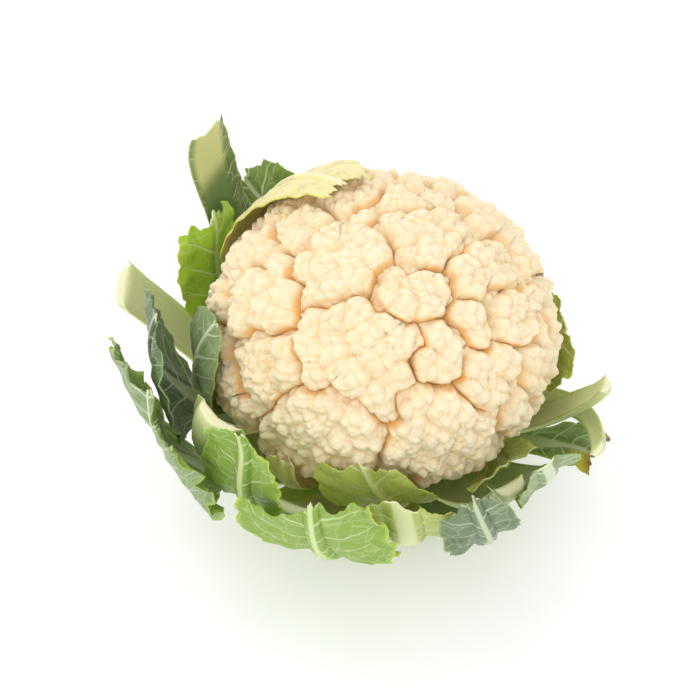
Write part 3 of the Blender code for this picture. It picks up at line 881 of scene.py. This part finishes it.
class LeafPoints:
    """Where the fine points of one leaf lie along it and across it, from its rib out to its edge."""

    def __init__(self, form, random):
        across, shares, length = leaf_grid(form)
        path_share, line, normals = leaf_path(form)
        self.rows = shares[:, None]
        self.across, share = np.meshgrid(across, shares)
        self.side = np.sign(self.across)
        torn = form["ragged"] * (0.5 + 0.5 * wander(self.across, random, TEAR_WAVE, 4))
        torn = torn * smooth_step(TORN_FROM, 1, share)
        slanted = (abs(form["slant"]) + form["slant"] * self.across) / 2
        self.share = share * (1 - slanted) * (1 - torn)
        self.radius = np.interp(self.share, path_share, line[:, 0])
        self.height = np.interp(self.share, path_share, line[:, 1])
        self.normal_out = np.interp(self.share, path_share, normals[:, 0])
        self.normal_up = np.interp(self.share, path_share, normals[:, 1])
        self.along = self.share * length
        self.opened = smooth_step(form["opens"], form["opens"] + OPENING_LENGTH, self.share)
        self.rib = MM * np.interp(self.share, [0, 1], form["rib"])
        self.distance, self.edge = self.from_rib(form, random)
        self.turn = np.radians(form["root"] + (form["tip"] - form["root"]) * self.share**LEAN_DELAY)
        self.turn = self.turn + self.side * self.distance / np.maximum(self.radius, STEM_RADIUS)

    def from_rib(self, form, random):
        """How far each point is from the middle of the rib, in metres and as a share of the half width."""
        width = np.where(self.across < 0, leaf_half_width(form, "left", self.share, self.radius),
                         leaf_half_width(form, "right", self.share, self.radius))
        notches = wander(self.along + self.side * NOTCH_SHIFT, random, NOTCH_WAVE, 4)
        width = width * (1 + form["ragged"] * self.opened * notches)
        column = np.abs(self.across)
        beyond = (column - RIB_COLUMN) / (1 - RIB_COLUMN)
        on_blade = self.rib + np.maximum(beyond, 0) * (width - self.rib)
        distance = np.where(beyond <= 0, column / RIB_COLUMN * self.rib, on_blade)
        return distance, np.clip(distance / width, 0, 1)

    def moved_out(self, offset):
        """The points, moved outwards by that much from the leaf's path."""
        return tube_points(self.radius + self.normal_out * offset, self.height + self.normal_up * offset,
                           self.turn)


def leaf_lift(form, at, random):
    """How far a leaf's inner face is lifted off its path: waves as in the solid, then ruffles and puckers."""
    ripple = np.sin(2 * math.pi * (form["waves"] * at.share + form["phase"]) + SIDE_PHASE * at.side)
    waved = form["wave"] * at.edge**2 * (1 + ripple) + form["curl"] * at.edge**3
    outside = np.clip((at.distance - at.rib) / RUFFLE_MARGIN, 0, 1)
    to_tip = smooth_step(CURLED_FROM, 1, at.share)
    ruffle = wander(at.along + at.side * RUFFLE_SHIFT, random, RUFFLE_WAVE) * at.edge**2
    curled = wander(at.distance * at.side, random, CURLED_WAVE) * to_tip * outside
    climb = (at.along - VEIN_SLOPE * at.distance) / (VEIN_SPACING * MM) + VEIN_OFFSET * (at.side > 0)
    pucker = np.abs(climb - np.round(climb)) * 2
    swell = wander(at.along, random, SWELL_WAVE_ALONG, 2)
    swell = swell * wander(at.distance * at.side, random, SWELL_WAVE_ACROSS, 2)
    blade = form["ruffle"] * (1 + ruffle) - PUCKER * pucker + SWELL * (1 + swell)
    lift = smooth_step(form["opens"], 1, at.share) * waved + at.opened * outside * blade
    return MM * (lift + form["ruffle"] * CURLED_SHARE * (1 + curled) * to_tip * outside)


def leaf_surfaces(form, at, lift, keel):
    """The leaf's inner and outer faces: a thick lined rib, hollow inside, and a thin blade."""
    thick = MM * np.interp(at.share, [0, 1], form["thick"])
    blade = BLADE_THICKNESS * (1 - THINNER_EDGE * at.edge)
    ridges = RIDGE_DEPTH * np.sin(at.distance / RIDGE_SPACING * 2 * math.pi) * keel
    depth = blade + (thick - blade) * keel + ridges
    hollow = HOLLOW_DEPTH * keel**2 * (1 - smooth_step(*HOLLOW_CLOSES, at.share) * HOLLOW_LOSS)
    rounded = np.clip((at.rows - CUT_ROUNDING_SHARE) / (1 - CUT_ROUNDING_SHARE), 0, 1)
    rounding = (1 - np.sqrt(1 - rounded**2)) * keel * np.minimum(thick * CUT_ROUNDING_DEPTH, CUT_ROUNDING)
    inner = at.moved_out(lift + hollow + rounding)
    return np.concatenate([inner, at.moved_out(lift + depth - rounding)])


def leaf_attributes(form, at, keel):
    """What the leaf's material reads at each point of its two faces."""
    pale_width = at.rib * (1 - (1 - form["midrib"]) * smooth_step(*MIDRIB_NARROWS, at.share))
    cut = np.zeros_like(at.share)
    cut[-1] = keel[-1] > KEEL_SHOWS
    withered = np.zeros_like(at.share)
    if form["withered"]:
        withered = smooth_step(1 - form["withered"], 1, at.share)
    yellowed = smooth_step(0, YELLOW_FADE, at.share + form["yellowed"] - 1)
    both = {
        "along": at.along / MM,
        "across": at.side * at.distance / MM,
        "edge": at.edge,
        "stalk": 1 - smooth_step(0.0, MIDRIB_FADE * pale_width, at.distance - MIDRIB_SOLID * pale_width),
        "paler": smooth_step(*form["paler"], at.share + PALER_SKEW * at.across),
        "cut": cut,
        "withered": withered,
        "yellowed": yellowed * smooth_step(*YELLOW_SIDE, at.across),
    }
    attributes = {key: np.concatenate([values.ravel()] * 2) for key, values in both.items()}
    # Painted shade on the stalk's inner face near the stem; the outer face has none.
    shaded = SHADE * smooth_step(*SHADE_FADES, at.share)
    attributes["outer"] = np.repeat([0.0, 1.0], at.share.size)
    attributes["shaded"] = np.concatenate([shaded.ravel(), np.zeros(at.share.size)])
    return attributes


def make_leaf(index, name, form, finish):
    """One leaf in full detail: the solid's form, with a ragged edge, ruffles and a puckered blade."""
    random = np.random.default_rng(LEAF_SEED + index)
    at = LeafPoints(form, random)
    keel = np.sqrt(np.clip(1 - (at.distance / at.rib) ** 2, 0, 1))
    points = leaf_surfaces(form, at, leaf_lift(form, at, random), keel)
    attributes = leaf_attributes(form, at, keel)
    faces = leaf_faces(*at.share.shape)
    piece = add_piece(name + "_blade", points, faces, finish, form["finish"], attributes, name)
    piece.data.set_sharp_from_angle(angle=math.radians(LEAF_SHARP))


def leaf_faces(height, width):
    """Faces of a leaf's inner side, outer side and rim, for grids of points height by width."""
    other = height * width
    faces = []
    for row in range(height - 1):
        for column in range(width - 1):
            first = row * width + column
            inner = (first, first + 1, first + width + 1, first + width)
            faces += [inner, tuple(corner + other for corner in reversed(inner))]
    ring = square_ring(height, width)
    for here, there in zip(ring, ring[1:] + ring[:1]):
        faces.append((here, here + other, there + other, there))
    return faces


def make_floor():
    """A plain white floor that glows a little, painted light that lifts the shade on it."""
    mesh = bpy.data.meshes.new("floor")
    corners = [(x * FLOOR_HALF, y * FLOOR_HALF, 0) for x, y in ((-1, -1), (1, -1), (1, 1), (-1, 1))]
    mesh.from_pydata(corners, [], [(0, 1, 2, 3)])
    nodes = Nodes("floor_finish")
    tone = nodes.noise(nodes.place(), 0.8, 2.0)
    colour = nodes.mix(tone, (0.95, 0.95, 0.95), (0.97, 0.97, 0.97))
    # Painted light: the floor glows a little, so its shade stays pale.
    nodes.shader.inputs["Emission Color"].default_value = (*DAYLIGHT, 1)
    nodes.shader.inputs["Emission Strength"].default_value = FLOOR_GLOW
    mesh.materials.append(nodes.finish(colour, 0.9, nodes.bump(tone, 0.1 * MM, 0.1)))
    floor = bpy.data.objects.new("floor", mesh)
    bpy.context.scene.collection.objects.link(floor)


def make_light():
    """White surroundings, a large soft key from behind on the left, and a low fill in front."""
    world = bpy.data.worlds.new("studio")
    world.use_nodes = True
    background = world.node_tree.nodes["Background"]
    background.inputs["Color"].default_value = (*DAYLIGHT, 1)
    background.inputs["Strength"].default_value = DAYLIGHT_STRENGTH
    bpy.context.scene.world = world
    for name, kind in LAMPS.items():
        lamp = bpy.data.lights.new(name, "AREA")
        lamp.shape = "DISK"
        lamp.size = kind["size"]
        lamp.energy = kind["power"]
        light = bpy.data.objects.new(name, lamp)
        light.location = kind["place"]
        towards = Vector((0, 0, CURD_CENTRE)) - light.location
        light.rotation_euler = towards.to_track_quat("-Z", "Y").to_euler()
        bpy.context.scene.collection.objects.link(light)
    bpy.context.scene.view_settings.view_transform = "Standard"


def make_camera():
    """The photograph's view: from the front and above, with the head a little right of the middle."""
    camera = bpy.data.cameras.new("camera")
    camera.sensor_width = SENSOR_WIDTH
    camera.lens = VIEW_DISTANCE / MM * SENSOR_WIDTH * PIXELS_PER_MM / IMAGE_SIZE
    viewer = bpy.data.objects.new("camera", camera)
    elevation = math.radians(VIEW_ELEVATION)
    back = Vector((0, -math.cos(elevation), math.sin(elevation)))
    turned = (-back).to_track_quat("-Z", "Y")
    middle = IMAGE_SIZE / 2
    aside = (middle - HEAD_PIXEL[0]) / PIXELS_PER_MM * MM
    above = (HEAD_PIXEL[1] - middle) / PIXELS_PER_MM * MM
    viewer.location = (Vector((0, 0, CURD_CENTRE)) + back * VIEW_DISTANCE
                       + turned @ Vector((aside, above, 0)))
    viewer.rotation_euler = turned.to_euler()
    bpy.context.scene.collection.objects.link(viewer)
    bpy.context.scene.camera = viewer


def main():
    make_camera()
    make_light()
    make_floor()
    curd_finish = curd_material()
    places, grown_on = lump_places()
    buds, grains = small_ball_tree(BUDS), small_ball_tree(GRAINS)
    for index in sorted(set(grown_on.tolist())):
        make_floret(index, places, grown_on, buds, grains, curd_finish)
    stem_finish = stem_material()
    make_branches(stem_finish)
    make_stem(stem_finish)
    finishes = {key: leaf_material(key) for key in LEAF_COLOURS}
    for index, (name, form) in enumerate(LEAVES.items()):
        form = form | KIND_LOOKS[form["finish"]] | LOOKS.get(name, {})
        make_leaf(index, name, form, finishes[form["colours"]])


main()
